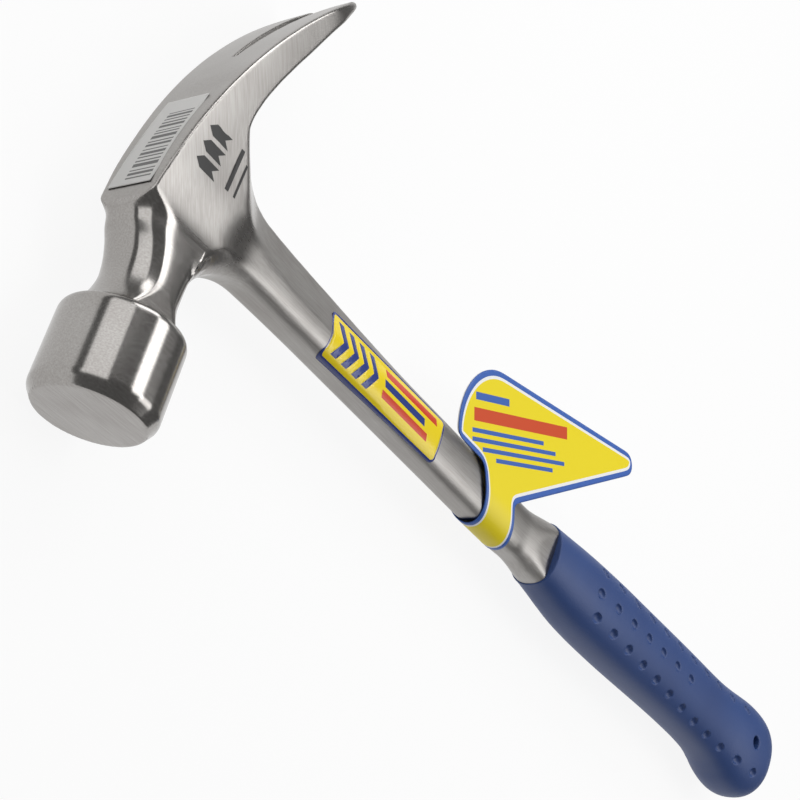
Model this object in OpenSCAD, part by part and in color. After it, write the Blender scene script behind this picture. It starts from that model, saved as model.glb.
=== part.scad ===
// Framing hammer: one steel forging, a moulded grip, two paper labels and a folded card tag.
// It lies on its side. +X runs down the handle, +Y points to the claws and +Z is up.
// Inside the modules the bell's axis crosses the handle's centreline at the origin, and place()
// moves that to the middle of the hammer's footprint, on the surface it lies on.

/* [Overall] */
// Length from the top of the bell to the butt of the grip
overall_l = 408; // [390:1:430]

/* [Bell and neck] */
// Diameter of the bell
bell_d = 32; // [30:0.5:36]
// Diameter of the flat striking face
face_d = 28; // [24:0.5:29]
// Distance from the handle's centreline to the striking face
face_reach = 64.5; // [60:0.5:70]
// Length of the bell, from its face to its shoulder
bell_l = 25; // [21:0.5:27]
// Depth of the bevel round the face
face_bevel = 3; // [1:0.25:4]
// Radius of the bell's shoulder
shoulder_r = 2.25; // [1:0.25:4]
// Diameter of the neck at its waist
neck_d = 20; // [17:0.5:23]

/* [Cheeks and claws] */
// Thickness of the head across its cheeks, at the handle's centreline
cheek_t = 22; // [20:0.5:24]
// Depth of the cheeks' front below the bell's axis
cheek_drop = 9.8; // [9:0.1:10.6]
// Height of the strap, the head's top face, over the bell's axis
strap_h = 13.2; // [12:0.1:14.5]
// Radius of the strap's curve from the neck to the claw tips
strap_r = 184; // [160:1:220]
// Slope of the strap where it crosses the handle, in degrees
strap_tilt = 8.9; // [6:0.1:10]
// Rounding of the strap's long edges
strap_edge_r = 1; // [0.5:0.1:2]
// Distance from the handle's centreline to the claw tips
claw_reach = 86; // [80:1:95]
// Greatest width over both claws
claw_w = 30; // [26:0.5:31]
// Thickness of a claw at its root
claw_t = 9.6; // [8.5:0.1:11]
// Length of the nail slot between the claws
slot_l = 40; // [34:1:45]
// Width of the nail slot at its mouth
slot_w = 9.5; // [8.5:0.1:11]
// Radius of the nail slot's closed end
slot_end_r = 0.7; // [0.4:0.1:1.2]

/* [Shank] */
// Depth of the shank, front to back
shank_w = 18.4; // [16:0.1:20]
// Thickness of the shank at its middle
shank_t = 12.8; // [11:0.1:14]
// Distance from the bell's axis to where the flare under the head ends
flare_l = 58; // [50:1:66]
// Radius of the curve between the neck and the shank's front edge
crotch_r = 24.5; // [21:0.5:27]
// Radius of the curve between the claws and the shank's back edge
heel_r = 25.5; // [21:0.5:27]
// How far the shank's middle drifts towards the face on its way to the grip
shank_drift = 1.8; // [0:0.1:2.4]
// Width of the ground flat along the shank's front edge
land_w = 3; // [1.5:0.1:4]

/* [Collar and tang] */
// Length of the flare that meets the grip
collar_l = 20; // [15:1:26]
// Depth of the collar at the grip's mouth
collar_w = 21.8; // [20:0.1:23]
// Thickness of the collar at the grip's mouth
collar_t = 17.2; // [15:0.1:18]
// Depth of the tang inside the grip
tang_w = 14; // [11:0.5:16]
// Thickness of the tang inside the grip
tang_t = 7; // [5:0.5:9]
// Outside diameter of the eye at the tang's end
eye_d = 19; // [17:0.5:21]
// Diameter of the hole in the tang's eye
eye_hole_d = 11; // [9:0.5:12]

/* [Grip] */
// Length of the grip
grip_l = 197; // [180:1:215]
// Depth of the grip at its middle
grip_w = 30; // [27:0.1:32]
// Thickness of the grip at its middle
grip_t = 23.6; // [21:0.1:26]
// Depth of the swell at the butt
butt_w = 38.6; // [33:0.1:39]
// Thickness of the swell at the butt
butt_t = 29.4; // [27:0.1:30]
// How much shorter the butt is at its front than at its back
butt_slant = 7.8; // [4:0.2:9]
// Thickness of the grip's lip over the collar
lip_t = 0.7; // [0.3:0.1:1.5]
// Spacing of the dimples along the grip
dimple_pitch = 12.8; // [12:0.1:13.4]
// Width of a dimple
dimple_d = 4; // [3.5:0.1:5]
// Depth of a dimple
dimple_depth = 1.2; // [0.6:0.1:1.4]
// Diameter of the hang hole through the butt
hang_hole_d = 5.2; // [4.6:0.1:7]
// Distance from the butt's end to the middle of the hang hole
hang_hole_in = 29; // [25:0.5:34]

/* [Labels and tag] */
// Thickness of the printed labels
label_t = 0.15; // [0.1:0.01:0.3]
// Length of the label on the shank
shank_label_l = 60; // [45:1:64]
// Distance from the bell's axis to the start of the label on the shank
shank_label_x = 61; // [58:1:70]
// Length of the label on top of the head
top_label_l = 33; // [20:1:36]
// Width of the label on top of the head
top_label_w = 14.2; // [8:0.2:16]
// Thickness of the tag's card
card_t = 0.35; // [0.25:0.01:0.6]
// Width of the tag's loop along the shank
loop_w = 18.4; // [14:0.2:24]
// Lean of the loop's edges off square to the shank, in degrees
loop_lean = 31; // [24:1:34]
// Gap between the tag's loop and the thickest part of the shank that it slides over
loop_gap = 0.6; // [0.5:0.05:1]
// Gap between the flare under the head and the tag's loop at the top of its travel
tag_top_gap = 3.9; // [2:0.1:60]
// Length of the tag's leaf, from its round end to its tip
leaf_l = 117; // [95:1:122]
// Width of the leaf at its round end
leaf_w = 43.4; // [36:0.2:46]
// Width of the leaf at its tip
leaf_tip_w = 8.4; // [6:0.2:14]
// Turn of the leaf away from the handle's line, in degrees
leaf_turn = 24.6; // [18:0.2:28]
// Rounding of the leaf's corner at the shank
leaf_corner_r = 2.8; // [1:0.2:3]
// Fillet where the leaf runs into the loop
leaf_fillet_r = 4; // [1:0.5:5]

/* [Hidden] */
$fn = 48;

// How far the curves between head and shank run on above the head's lower face
fillet_run = 2.6;
// Overrun of every cut past the face that it opens
over = 1;
// Film of glue under a label
glue_t = 0.05;
// Clearance between the tang and the grip moulded round it
tang_gap = 0.1;
// Gap between the tag's loop and the collar at rest
tag_stop_gap = 3.6;
// Sideways offset of the label on top of the head
top_label_shift = -0.2;

bell_r = bell_d / 2;
face_r = face_d / 2;
neck_r = neck_d / 2;
cheek_z = cheek_t / 2;
claw_z = claw_w / 2;
butt_x = overall_l - bell_r;
grip_x = butt_x - grip_l;
collar_x = grip_x - collar_l;
hang_hole_x = butt_x - hang_hole_in;
loop_x = collar_x - tag_stop_gap - loop_w;
steel = "#b9b6b1";
vinyl = "#2f4585";
print_yellow = "#e6d21f";
label_white = "#e4e3e0";

// Smooth curve through a table of [place, value] rows
function row_at(x, table, i = 0) =
    (i >= len(table) - 2 || x < table[i + 1][0]) ? i : row_at(x, table, i + 1);
function rise_at(table, i) =
    let (a = max(i - 1, 0), b = min(i + 1, len(table) - 1))
    (table[b][1] - table[a][1]) / (table[b][0] - table[a][0]);
function smooth(x, table) =
    let (
        i = row_at(x, table),
        gap = table[i + 1][0] - table[i][0],
        u = (x - table[i][0]) / gap,
        rise0 = rise_at(table, i) * gap,
        rise1 = rise_at(table, i + 1) * gap
    )
    table[i][1] * (1 + 2 * u) * pow(1 - u, 2) + rise0 * u * pow(1 - u, 2)
    + table[i + 1][1] * u * u * (3 - 2 * u) + rise1 * u * u * (u - 1);
function mix(a, b, share) = a + (b - a) * share;

// Side of a superellipse: 1 in the middle, 0 at the edge; power 1 is a straight bevel
function bulge(u, power) = pow(max(1 - pow(abs(u), power), 0), 1 / power);

// Solid through a row of rings that have the same number of points
module loft(rings) {
    count = len(rings[0]);
    last = (len(rings) - 1) * count;
    points = [for (ring = rings) each ring];
    sides = [
        for (i = [0 : len(rings) - 2], j = [0 : count - 1])
            let (a = i * count + j, b = i * count + (j + 1) % count)
            each [[a, b, b + count], [a, b + count, a + count]]
    ];
    start = [[for (j = [count - 1 : -1 : 0]) j]];
    end = [[for (j = [0 : count - 1]) last + j]];
    polyhedron(points = points, faces = concat(start, sides, end), convexity = 6);
}

// Thin sheet between two grids of points that have the same rows and columns
module sheet(under, upper) {
    across = len(under[0]);
    loft([
        for (i = [0 : len(under) - 1])
            concat(under[i], [for (j = [across - 1 : -1 : 0]) upper[i][j]])
    ]);
}

module place() {
    translate([-(butt_x - bell_r) / 2, -(claw_reach - face_reach) / 2, bell_r]) children();
}

// Bell: a turned barrel with a bevelled face and a rounded shoulder
shoulder_steps = 5;
module bell() {
    shoulder = [
        for (i = [0 : shoulder_steps])
            let (turn = 90 * i / shoulder_steps)
            [bell_r - shoulder_r * (1 - cos(turn)), bell_l - shoulder_r * (1 - sin(turn))]
    ];
    translate([0, -face_reach, 0]) rotate([-90, 0, 0]) rotate_extrude($fn = 96)
        polygon(concat([[0, 0], [face_r, 0], [bell_r, face_bevel]], shoulder, [[0, bell_l]]));
}

// Head: rounded boxes strung along Y, from inside the bell to the claw tips
corner_steps = 5;
function strap_x(y) =
    let (arc_y = -strap_r * sin(strap_tilt))
    strap_r * cos(strap_tilt) - strap_h - sqrt(pow(strap_r, 2) - pow(y - arc_y, 2));
function arc_points(x, z, r, turn) = [
    for (i = [0 : corner_steps])
        let (a = turn + 90 * i / corner_steps)
        [x + r * cos(a), z + r * sin(a)]
];
function head_ring(y, top, bottom, half, top_r, bottom_r) = [
    for (p = concat(
        arc_points(bottom - bottom_r, half - bottom_r, bottom_r, 0),
        arc_points(top + top_r, half - top_r, top_r, 90),
        arc_points(top + top_r, top_r - half, top_r, 180),
        arc_points(bottom - bottom_r, bottom_r - half, bottom_r, 270)
    )) [p[0], y, p[1]]
];

// Neck rows: place as a share of the face's reach, radius as a share of the waist's, and how far
// the round neck has turned into the square cheeks
neck_shares = [
    [-0.72, 0.80, 0.00], [-0.65, 1.16, 0.00], [-0.61, 1.30, 0.00], [-0.57, 1.19, 0.00],
    [-0.52, 1.06, 0.00], [-0.45, 1.00, 0.00], [-0.39, 1.00, 0.10], [-0.33, 1.00, 0.32],
    [-0.27, 1.00, 0.60], [-0.22, 1.00, 0.84], [-0.18, 1.00, 0.98]
];
// Cheek and claw rows: place as a share of the claws' reach, thickness as a share of the claw's
// root, growth from cheek width to claw width, and what the rounded tips leave of that width
claw_shares = [
    [-0.11, 2.50, -0.36, 1.00], [-0.06, 2.60, -0.17, 1.00], [0.00, 2.68, 0.00, 1.00],
    [0.09, 2.34, 0.10, 1.00], [0.18, 1.74, 0.24, 1.00], [0.27, 1.28, 0.40, 1.00],
    [0.36, 1.10, 0.54, 1.00], [0.45, 1.02, 0.68, 1.00], [0.54, 0.96, 0.81, 1.00],
    [0.63, 0.90, 0.91, 1.00], [0.71, 0.78, 0.97, 1.00], [0.78, 0.66, 1.00, 1.00],
    [0.84, 0.55, 1.00, 0.99], [0.89, 0.43, 1.00, 0.96], [0.93, 0.33, 1.00, 0.91],
    [0.96, 0.25, 1.00, 0.84], [0.985, 0.18, 1.00, 0.74], [1.00, 0.14, 1.00, 0.61]
];
// Rounding of the head's lower edges as a share of the local thickness, and of the tips' edges
under_edge_share = 0.1;
tip_edge_share = 0.45;
// Rings between two rows of a table
row_steps = 2;

function column(rows, k) = [for (row = rows) [row[0], row[k]]];
function places(rows) = [
    for (i = [0 : len(rows) - 2], j = [0 : row_steps - 1])
        mix(rows[i][0], rows[i + 1][0], j / row_steps),
    rows[len(rows) - 1][0]
];
function head_thickness(y) = claw_t * smooth(y / claw_reach, column(claw_shares, 1));
function head_half(y) =
    mix(cheek_z, claw_z, smooth(y / claw_reach, column(claw_shares, 2)))
    * smooth(y / claw_reach, column(claw_shares, 3));

module head() {
    cheek_front = claw_shares[0][0] * claw_reach;
    neck = [
        for (place_share = places(neck_shares))
            let (
                y = place_share * face_reach,
                r = neck_r * smooth(place_share, column(neck_shares, 1)),
                turned = smooth(place_share, column(neck_shares, 2)),
                top = mix(-r, strap_x(y), turned),
                bottom = mix(r, cheek_drop, turned),
                half = mix(r, head_half(cheek_front), turned),
                widest_r = min(half, (bottom - top) / 2)
            )
            head_ring(y, top, bottom, half, mix(widest_r, strap_edge_r, pow(turned, 2)),
                mix(widest_r, (bottom - top) * under_edge_share, turned))
    ];
    claws = [
        for (place_share = places(claw_shares))
            let (
                y = place_share * claw_reach,
                thick = head_thickness(y)
            )
            head_ring(y, strap_x(y), strap_x(y) + thick, head_half(y),
                min(strap_edge_r, thick * tip_edge_share), thick * under_edge_share)
    ];
    loft(concat(neck, claws));
}

// Nail slot: a wedge between the claws with a round closed end
module nail_slot() {
    slot_y = claw_reach - slot_l;
    cut_h = bell_r + strap_x(claw_reach) + claw_t;
    translate([-bell_r, 0, 0]) rotate([0, 90, 0]) linear_extrude(height = cut_h) {
        translate([0, slot_y + slot_end_r]) circle(r = slot_end_r);
        polygon([
            [-slot_end_r, slot_y + slot_end_r], [slot_end_r, slot_y + slot_end_r],
            [slot_w / 2, claw_reach + over], [-slot_w / 2, claw_reach + over]
        ]);
    }
}

// Shank: rings along X, flared into the head, drawn to an oval and flared again at the grip.
// Each table gives [place, value] rows, both as shares: of the flare's length and of a thickness.
thickness_shares = [
    [0.05, 0.99], [0.20, 0.99], [0.27, 0.96], [0.33, 0.85], [0.40, 0.62], [0.50, 0.36],
    [0.62, 0.18], [0.80, 0.05], [1.00, 0.00]
];
front_land_shares = [[0.05, 0.30], [0.20, 0.32], [0.30, 0.31], [0.45, 0.24], [0.70, 0.18], [1.00, 0.16]];
back_land_shares = [[0.05, 0.93], [0.15, 0.88], [0.25, 0.72], [0.36, 0.56], [0.60, 0.41], [1.00, 0.28]];
front_powers = [[0.05, 1.5], [0.20, 1.5], [0.32, 1.8], [0.50, 2.3], [1.00, 2.7]];
back_powers = [[0.05, 5.0], [0.18, 2.8], [0.30, 1.7], [0.45, 1.3], [1.00, 1.3]];
oval_power = 2.7;
collar_land_share = 0.3;

// Place where the bevelled back of the shank has become a plain oval
oval_share = 0.6;
oval_x = mix(flare_l, collar_x, oval_share);
function along_flare(shares, size) = [for (row = shares) [row[0] * flare_l, row[1] * size]];
half_t_rows = concat(
    [for (row = thickness_shares) [row[0] * flare_l, mix(shank_t, cheek_t, row[1]) / 2]],
    [[collar_x, shank_t / 2], [grip_x, collar_t / 2]]
);
land_rows = [[oval_x, land_w / 2], [collar_x, land_w / 2], [grip_x, collar_t / 2 * collar_land_share]];
front_land_rows = concat(along_flare(front_land_shares, cheek_z), land_rows);
back_land_rows = concat(along_flare(back_land_shares, cheek_z), land_rows);
oval_rows = [[oval_x, oval_power], [grip_x, oval_power]];
front_power_rows = concat(along_flare(front_powers, 1), oval_rows);
back_power_rows = concat(along_flare(back_powers, 1), oval_rows);
depth_rows = [[0, shank_w / 2], [flare_l, shank_w / 2], [collar_x, shank_w / 2], [grip_x, collar_w / 2]];

// Extra depth where an edge curves away into the head, on an arc that starts at a height
function fillet(x, top_x, r) =
    let (reach = max(min((top_x + r - x) / r, 1), 0))
    r * (1 - sqrt(1 - pow(reach, 2)));
function held(x) = max(min(x, 1), 0);
function middle_y(x) =
    mix(shank_drift / 2, -shank_drift / 2, held((x - flare_l) / (collar_x - flare_l)))
    * (1 - held((x - collar_x) / collar_l));
heel_share = 0.27;
heel_x = strap_x(heel_share * claw_reach) + head_thickness(heel_share * claw_reach);
function front_y(x) = middle_y(x) - smooth(x, depth_rows) - fillet(x, cheek_drop - fillet_run, crotch_r);
function back_y(x) = middle_y(x) + smooth(x, depth_rows) + fillet(x, heel_x - fillet_run, heel_r);

// One side of a ring, from the front edge to the back edge; grow moves it outwards
ring_shares = [-1, -0.97, -0.9, -0.8, -0.65, -0.45, -0.2, 0, 0.2, 0.4, 0.6, 0.75, 0.87, 0.95, 1];
function shank_side(x, u, grow = 0) =
    let (
        half = smooth(x, half_t_rows),
        land = smooth(x, u < 0 ? front_land_rows : back_land_rows),
        power = smooth(x, u < 0 ? front_power_rows : back_power_rows),
        edge = u < 0 ? front_y(x) : back_y(x)
    )
    [
        middle_y(x) + abs(u) * (edge - middle_y(x) + sign(u) * grow),
        land + (half - land) * bulge(u, power) + grow
    ];
function shank_ring(x) = [
    for (u = ring_shares) let (p = shank_side(x, u)) [x, p[0], p[1]],
    for (i = [len(ring_shares) - 1 : -1 : 0]) let (p = shank_side(x, ring_shares[i])) [x, p[0], -p[1]]
];

flare_station_shares = [
    0.07, 0.11, 0.15, 0.18, 0.21, 0.25, 0.29, 0.33, 0.38, 0.43, 0.49, 0.56, 0.64, 0.74, 0.86, 1
];
plain_steps = 8;
collar_steps = 8;
module shank() {
    stations = concat(
        flare_station_shares * flare_l,
        [for (i = [1 : plain_steps]) mix(flare_l, collar_x, i / plain_steps)],
        [for (i = [1 : collar_steps]) collar_x + collar_l * i / collar_steps]
    );
    loft([for (x = stations) shank_ring(x)]);
}

// Tang: a flat bar inside the grip that ends in an eye; grow makes the grip's pocket
module tang(grow = 0, lead = 0) {
    eye_r = eye_d / 2 + grow;
    linear_extrude(height = tang_t + 2 * grow, center = true) difference() {
        union() {
            translate([grip_x - lead, -tang_w / 2 - grow])
                square([hang_hole_x - grip_x + lead, tang_w + 2 * grow]);
            translate([hang_hole_x, 0]) circle(r = eye_r);
        }
        translate([hang_hole_x, 0]) circle(r = eye_hole_d / 2 - grow);
    }
}

module forged_body() {
    color(steel) place() difference() {
        union() {
            bell();
            head();
            shank();
            tang(lead = over);
        }
        nail_slot();
    }
}

// Grip rows: place as a share of the grip's length, growth from mouth to middle and from middle
// to butt swell, what the rounded end leaves, and the drift of the middle as a share of the depth
grip_shares = [
    [0.000, 0.00, 0.00, 1.00, 0.000], [0.040, 0.15, 0.00, 1.00, -0.004],
    [0.090, 0.45, 0.00, 1.00, -0.012], [0.145, 0.72, 0.00, 1.00, -0.018],
    [0.200, 0.87, 0.00, 1.00, -0.016], [0.270, 0.96, 0.00, 1.00, -0.008],
    [0.350, 1.00, 0.00, 1.00, 0.003], [0.450, 1.00, 0.00, 1.00, 0.024],
    [0.550, 1.00, 0.00, 1.00, 0.042], [0.640, 1.00, 0.02, 1.00, 0.050],
    [0.720, 1.00, 0.12, 1.00, 0.050], [0.770, 1.00, 0.32, 1.00, 0.046],
    [0.815, 1.00, 0.62, 1.00, 0.034], [0.855, 1.00, 0.89, 1.00, 0.018],
    [0.890, 1.00, 1.00, 1.00, 0.004], [0.920, 1.00, 1.00, 0.99, -0.008],
    [0.945, 1.00, 1.00, 0.95, -0.020], [0.965, 1.00, 1.00, 0.88, -0.026],
    [0.981, 1.00, 1.00, 0.78, -0.028], [0.992, 1.00, 1.00, 0.65, -0.028],
    [1.000, 1.00, 1.00, 0.42, -0.028]
];
grip_power = 2.3;
grip_sides = 32;
// How much of the butt's slant each place of the grip has
slant_shares = [[0.00, 0.00], [0.70, 0.00], [0.80, 0.30], [0.90, 0.90], [1.00, 1.00]];
last_y = grip_oval(1)[0] + grip_oval(1)[1];
// Middle, half depth and half thickness of the grip's oval
function grip_oval(place_share) =
    let (
        to_middle = smooth(place_share, column(grip_shares, 1)),
        to_butt = smooth(place_share, column(grip_shares, 2)),
        left = smooth(place_share, column(grip_shares, 3))
    )
    [
        smooth(place_share, column(grip_shares, 4)) * grip_w,
        mix(mix(collar_w / 2 + lip_t, grip_w / 2, to_middle), butt_w / 2, to_butt) * left,
        mix(mix(collar_t / 2 + lip_t, grip_t / 2, to_middle), butt_t / 2, to_butt) * left
    ];
function grip_point(place_share, turn) =
    let (
        oval = grip_oval(place_share),
        c = cos(turn),
        s = sin(turn),
        y = oval[0] + oval[1] * sign(c) * pow(abs(c), 2 / grip_power),
        slant = butt_slant * smooth(place_share, slant_shares)
    )
    [
        grip_x + place_share * grip_l + slant * (y - last_y) / butt_w,
        y,
        oval[2] * sign(s) * pow(abs(s), 2 / grip_power)
    ];
function grip_ring(place_share) = [
    for (i = [0 : grip_sides - 1]) grip_point(place_share, -360 * i / grip_sides)
];

// Rows of dimples: place of the first as a share of the grip's length, number of dimples, and the
// turn round the grip from its back edge, in degrees
dimple_row_shares = [[0.161, 12, 125], [0.148, 7, 94], [0.163, 11, 61]];
dimple_sides = 10;
module dimples() {
    ball_r = (pow(dimple_d / 2, 2) + pow(dimple_depth, 2)) / (2 * dimple_depth);
    for (row = dimple_row_shares, i = [0 : row[1] - 1])
        let (
            place_share = row[0] + i * dimple_pitch / grip_l,
            oval = grip_oval(place_share),
            across = sign(cos(row[2])) * pow(abs(cos(row[2])), 2 - 2 / grip_power) / oval[1],
            up = pow(abs(sin(row[2])), 2 - 2 / grip_power) / oval[2],
            out = [0, across, up] / norm([across, up]),
            at = grip_point(place_share, row[2]) + (ball_r - dimple_depth) * out
        )
        for (side = [-1, 1])
            translate([at[0], at[1], side * at[2]])
            rotate([-atan2(across, side * up), 0, 0])
            sphere(r = ball_r, $fn = dimple_sides);
}

module grip() {
    color(vinyl) place() difference() {
        loft([for (place_share = places(grip_shares)) grip_ring(place_share)]);
        tang(tang_gap, over);
        translate([hang_hole_x, 0, -butt_t]) cylinder(d = hang_hole_d, h = 2 * butt_t);
        dimples();
    }
}

// Label on the shank: a sheet that follows the shank's side between two shares of its ring
label_from_share = -0.9;
label_to_share = 0.6;
label_steps = 8;
module shank_label() {
    function sheet_row(x, lift) = [
        for (u = ring_shares) if (u >= label_from_share && u <= label_to_share)
            let (p = shank_side(x, u, lift)) [x, p[0], p[1]]
    ];
    xs = [for (i = [label_steps : -1 : 0]) shank_label_x + shank_label_l * i / label_steps];
    color(print_yellow) place()
        sheet([for (x = xs) sheet_row(x, glue_t)], [for (x = xs) sheet_row(x, glue_t + label_t)]);
}

// Label on top of the head: a sheet bent along the strap
top_label_start_share = -0.1;
module top_label() {
    function sheet_row(y, lift) = [
        for (side = [-1, 1]) [strap_x(y) - lift, y, top_label_shift + side * top_label_w / 2]
    ];
    start_y = top_label_start_share * claw_reach;
    ys = [for (i = [0 : label_steps]) start_y + top_label_l * i / label_steps];
    color(label_white) place()
        sheet([for (y = ys) sheet_row(y, glue_t)], [for (y = ys) sheet_row(y, glue_t + label_t)]);
}

// Tag: a card loop round the shank and a double leaf that leaves it on the upper side.
// The loop clears the shank at both ends of its travel.
loop_reach = shank_w * tan(loop_lean);
tag_travel = loop_x - loop_reach - flare_l - tag_top_gap;
loop_top_x = loop_x - loop_reach - tag_travel;
loop_end_x = loop_x + loop_w;
function loop_side(u, grow) =
    let (edge = u < 0 ? front_y(loop_end_x) : back_y(loop_top_x))
    [
        middle_y(loop_top_x) + abs(u) * (edge - middle_y(loop_top_x) + sign(u) * grow),
        max(shank_side(loop_top_x, u, grow)[1], shank_side(loop_end_x, u, grow)[1])
    ];
function loop_outline(grow) = [
    for (u = ring_shares) loop_side(u, grow),
    for (i = [len(ring_shares) - 1 : -1 : 0]) let (p = loop_side(ring_shares[i], grow)) [p[0], -p[1]]
];
// Leaf: a round end and a small tip, joined by the two straight lines that touch both
module leaf_outline() {
    root_r = leaf_w / 2;
    tip_r = leaf_tip_w / 2;
    tip_at = leaf_l - root_r - tip_r;
    turn = acos((root_r - tip_r) / tip_at);
    circle(r = root_r);
    translate([tip_at, 0]) circle(r = tip_r);
    polygon([
        root_r * [cos(turn), sin(turn)], root_r * [cos(turn), -sin(turn)],
        [tip_at, 0] + tip_r * [cos(turn), -sin(turn)], [tip_at, 0] + tip_r * [cos(turn), sin(turn)]
    ]);
}
// Middle of the leaf's round end, along the shank from the loop's edge and across from its middle
leaf_place_shares = [-0.16, 0.345];
// Depth from the shank's middle to the cut edge of the leaf, as a share of the shank's depth
leaf_cut_share = 0.27;
// Leaning strip that the loop is cut from, between two depths
module strip(low_y, high_y) {
    front = loop_side(-1, loop_gap + card_t)[0];
    polygon([
        for (corner = [[low_y, 0], [low_y, loop_w], [high_y, loop_w], [high_y, 0]])
            [loop_x + corner[1] - (corner[0] - front) * tan(loop_lean), corner[0]]
    ]);
}
module hang_tag() {
    leaf_z = loop_side(0, loop_gap)[1];
    leaf_y = leaf_cut_share * shank_w;
    color(print_yellow) place() {
        intersection() {
            translate([loop_x - leaf_w, 0, 0]) rotate([90, 0, 90])
                linear_extrude(height = loop_w + 2 * leaf_w) difference() {
                    polygon(loop_outline(loop_gap + card_t));
                    polygon(loop_outline(loop_gap));
                }
            linear_extrude(height = 2 * cheek_t, center = true) strip(-leaf_w, leaf_w);
        }
        translate([0, 0, leaf_z]) linear_extrude(height = 2 * card_t) {
            offset(r = -leaf_fillet_r) offset(delta = leaf_fillet_r) {
                offset(r = leaf_corner_r) offset(delta = -leaf_corner_r) difference() {
                    translate([loop_x, 0] + leaf_place_shares * leaf_w) rotate(leaf_turn) leaf_outline();
                    translate([-leaf_l, leaf_y - 2 * leaf_w]) square([4 * leaf_l, 2 * leaf_w]);
                }
                strip(0, leaf_y + leaf_corner_r);
            }
        }
    }
}

forged_body();
grip();
shank_label();
top_label();
hang_tag();
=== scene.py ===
# %% [markdown]
# # A one-piece framing hammer
# Bell, neck, claws and shank of this hammer are one steel forging. A blue vinyl grip is moulded over
# its tail, two printed labels are stuck on it and a folded card tag hangs round the shank. The measured
# solids are loaded first, because every piece made here has to sit exactly where they are.

# %% Load the measured solids
import math

import bpy
import numpy as np
from mathutils import Matrix, Vector
from mathutils.geometry import delaunay_2d_cdt


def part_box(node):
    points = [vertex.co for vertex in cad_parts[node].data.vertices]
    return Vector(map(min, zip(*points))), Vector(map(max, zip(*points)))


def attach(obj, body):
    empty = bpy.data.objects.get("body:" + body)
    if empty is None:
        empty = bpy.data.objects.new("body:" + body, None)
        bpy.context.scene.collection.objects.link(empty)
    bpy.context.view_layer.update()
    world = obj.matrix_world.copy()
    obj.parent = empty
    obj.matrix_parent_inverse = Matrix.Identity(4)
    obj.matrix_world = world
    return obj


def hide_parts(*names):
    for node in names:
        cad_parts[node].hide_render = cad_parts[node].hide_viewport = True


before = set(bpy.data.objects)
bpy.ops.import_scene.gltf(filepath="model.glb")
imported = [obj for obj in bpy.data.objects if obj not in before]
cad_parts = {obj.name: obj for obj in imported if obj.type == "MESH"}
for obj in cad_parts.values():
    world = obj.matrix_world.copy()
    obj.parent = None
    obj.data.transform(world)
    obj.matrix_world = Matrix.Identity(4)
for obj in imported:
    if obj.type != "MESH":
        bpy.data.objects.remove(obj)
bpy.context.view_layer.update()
print("solids:", ", ".join(sorted(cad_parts)))

# %% [markdown]
# ## A hammer's own millimetres
# A smith measures a hammer from where the bell's axis crosses the handle: X down the handle, Y towards
# the claws, Z out of the cheek. The scene is in metres and has the hammer lying on a table, so the low
# corner of the forging's box and the bell's radius and reach give the shift, and one function takes
# points across.

# %% The hammer's frame
MM = 0.001
BELL_R = 16.0
FACE_REACH = 64.5
GRIP_START = 195.0
BUTT = 392.0
steel_low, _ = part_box("forged_body")
HAMMER_ORIGIN = np.array([steel_low.x / MM + BELL_R, steel_low.y / MM + FACE_REACH, BELL_R])


def to_scene(points):
    return (np.asarray(points, float) + HAMMER_ORIGIN) * MM


print("bell axis crosses the handle at", to_scene([0, 0, 0]).round(4).tolist())

# %% [markdown]
# ## Forms without seams
# A forging has no joints: each face runs into the next through a soft radius. Extruded boxes with
# bevels would need every corner patched by hand. Here the steel is written as a field, a function that
# is below zero inside the metal, and two fields are joined by a smooth minimum, which leaves a radius
# of its own. The first tools are a smooth curve through a table, those two blends and a plain fade.

# %% Curves and blends
def curve(x, rows):
    """Smooth line through (place, value) rows; level beyond the first and the last."""
    place, value = np.array(rows, float).T
    slope = np.empty_like(value)
    slope[1:-1] = (value[2:] - value[:-2]) / (place[2:] - place[:-2])
    slope[0] = slope[-1] = 0
    i = np.clip(np.searchsorted(place, x, side="right") - 1, 0, len(place) - 2)
    gap = place[i + 1] - place[i]
    u = np.clip((x - place[i]) / gap, 0, 1)
    v = 1 - u
    return (value[i] * (1 + 2 * u) * v * v + value[i + 1] * u * u * (3 - 2 * u)
            + gap * (slope[i] * u * v * v - slope[i + 1] * u * u * v))


def both(a, b, radius):
    """Where two forms overlap, with the edge between them rounded."""
    k = 1.17 * radius
    return np.maximum(a, b) + np.maximum(k - np.abs(a - b), 0) ** 2 / (4 * k)


def joined(a, b, radius):
    """Two forms together, with a fillet in the corner between them."""
    return -both(-a, -b, radius)


def fade(value, start, end):
    """0 at the start, 1 at the end, level beyond."""
    return np.clip((value - start) / (end - start), 0, 1)


print("blend check, two planes that meet with a 3 mm radius:", round(float(both(0.0, 0.0, 3.0)), 3))

# %% [markdown]
# ## Head: strap, cheeks and claws
# The head starts as a bar between two flat cheeks. Its top face, the strap, is one long arc; the
# underside thins to the claws' chisel tips; a wedge-shaped slot splits them. Towards the bell the bar
# is turned down to a round neck, and where that round meets the strap it leaves the crescent edge that
# shows behind the bell. Towards the shank the cheeks bend away below a line. Every line is a short
# table of millimetres along Y, or, for the bend, of millimetres below that line.

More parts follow.
